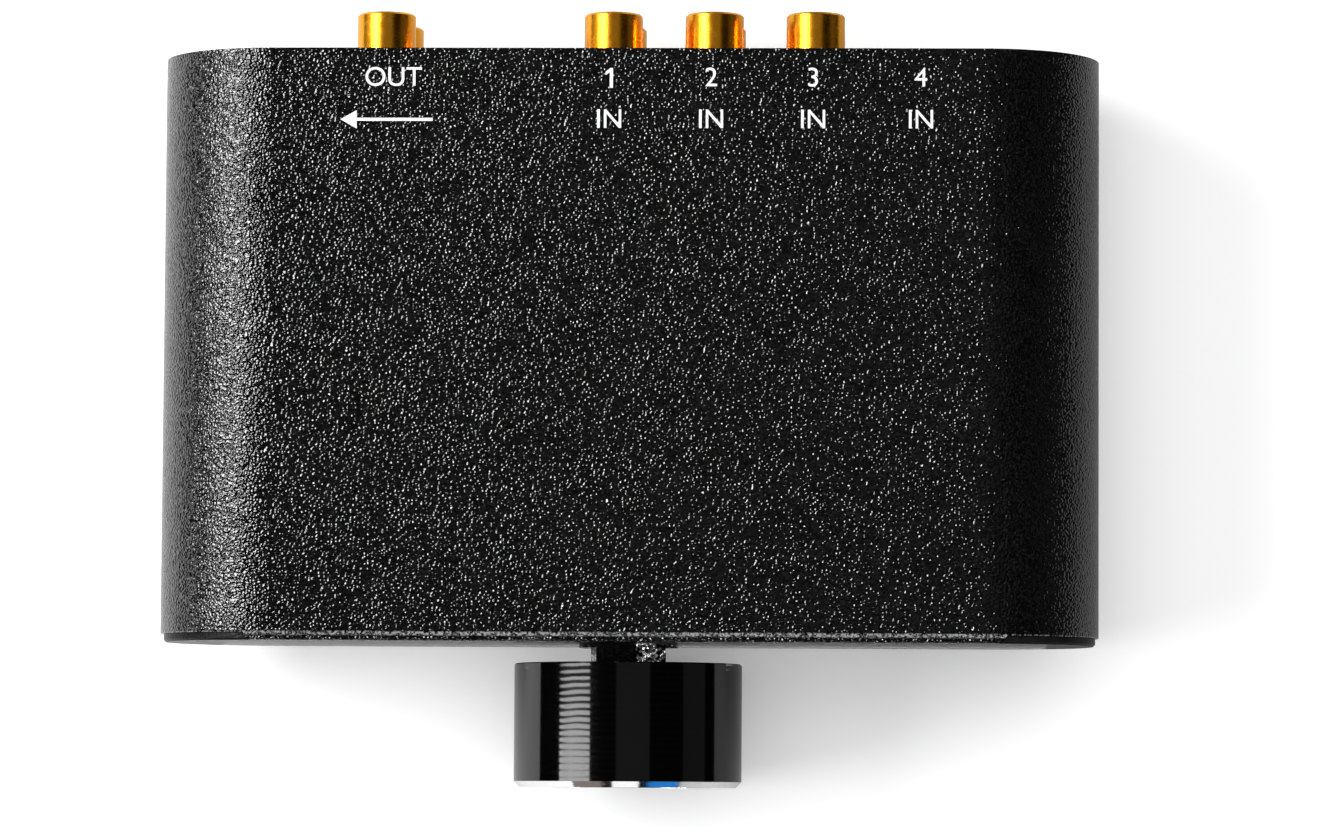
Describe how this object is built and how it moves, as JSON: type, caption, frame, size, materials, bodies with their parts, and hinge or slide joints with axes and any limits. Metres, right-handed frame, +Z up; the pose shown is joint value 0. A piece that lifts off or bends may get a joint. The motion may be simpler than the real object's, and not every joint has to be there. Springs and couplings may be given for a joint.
{
  "type": "audio source selector switch",
  "caption": "Round-sided black metal audio selector box: one large front knob picks which phono jack pair at the rear feeds the output pair.",
  "frame": {"origin": "bottom centre of the whole object's box, on the surface that the feet stand on", "axes": "+X to the right seen from the knob, +Y to the rear with the jacks, +Z up; the knob is at -Y"},
  "size_m": [0.1336, 0.1096, 0.0355],
  "materials": {
    "case_coat": "fine-textured black powder coat on an aluminium extrusion",
    "panel_black": "smooth satin black",
    "screw_black": "black zinc plate",
    "foot_rubber": "soft black rubber",
    "moulding_black": "moulded black plastic",
    "gold_plate": "bright gold plate on brass",
    "insulator_white": "moulded white plastic",
    "insulator_red": "moulded red plastic",
    "tinned_pin": "tinned",
    "ring_nut_metal": "nickel plate",
    "board_green": "green solder mask on glass fibre board",
    "plated_steel": "bright zinc plate",
    "ribbon_grey": "grey flat cable",
    "cast_zinc": "die-cast zinc",
    "nut_black": "black nickel plate",
    "moulding_brown": "moulded phenolic",
    "silver_contact": "silver plate",
    "spring_steel": "polished spring steel",
    "knob_black": "glossy black anodised, turned",
    "trim_bright": "diamond-cut, polished"
  },
  "bodies": {
    "case": {"case_sleeve": "case_coat", "front_panel": "panel_black", "rear_panel": "panel_black", "front_panel_screws": "screw_black", "rear_panel_screws": "screw_black", "rubber_feet": "foot_rubber", "output_jack_block": "moulding_black", "input_jack_block_1": "moulding_black", "input_jack_block_2": "moulding_black", "input_jack_block_3": "moulding_black", "rca_barrels_upper": "gold_plate", "rca_barrels_lower": "gold_plate", "rca_insulators_upper": "insulator_white", "rca_insulators_lower": "insulator_red", "rca_contacts": "gold_plate", "rca_ground_pins": "tinned_pin", "jack_block_screws": "screw_black", "aux_jack_body": "moulding_black", "aux_jack_ring_nut": "ring_nut_metal", "aux_jack_contacts": "tinned_pin", "jack_board": "board_green", "board_standoffs": "plated_steel", "standoff_screws": "screw_black", "jack_board_header": "moulding_black", "jack_board_header_pins": "tinned_pin", "ribbon_socket_rear": "moulding_black", "ribbon_cable": "ribbon_grey", "ribbon_socket_front": "moulding_black", "switch_board_header": "moulding_black", "switch_board_header_pins": "tinned_pin", "switch_board": "board_green", "switch_bushing_plate": "cast_zinc", "stop_washer": "plated_steel", "lock_washer": "plated_steel", "panel_washer": "nut_black", "bushing_nut": "nut_black", "index_housing": "moulding_black", "contact_housing": "moulding_brown", "fixed_contacts": "silver_contact", "switch_screws": "plated_steel"},
    "selector": {"selector_shaft": "plated_steel", "shaft_clip": "plated_steel", "detent_carrier": "moulding_brown", "detent_springs": "spring_steel", "detent_balls": "spring_steel", "contact_rotor": "moulding_brown", "wiper_contacts": "silver_contact", "knob_body": "knob_black", "knob_core": "moulding_black", "knob_trim_ring": "trim_bright"}
  },
  "joints": [
    {"name": "knob_turn", "type": "hinge", "parent": "case", "child": "selector", "pos_m": [0, -0.03451, 0.01875], "axis": [0, 1, 0], "range_deg": [0, 90]}
  ]
}
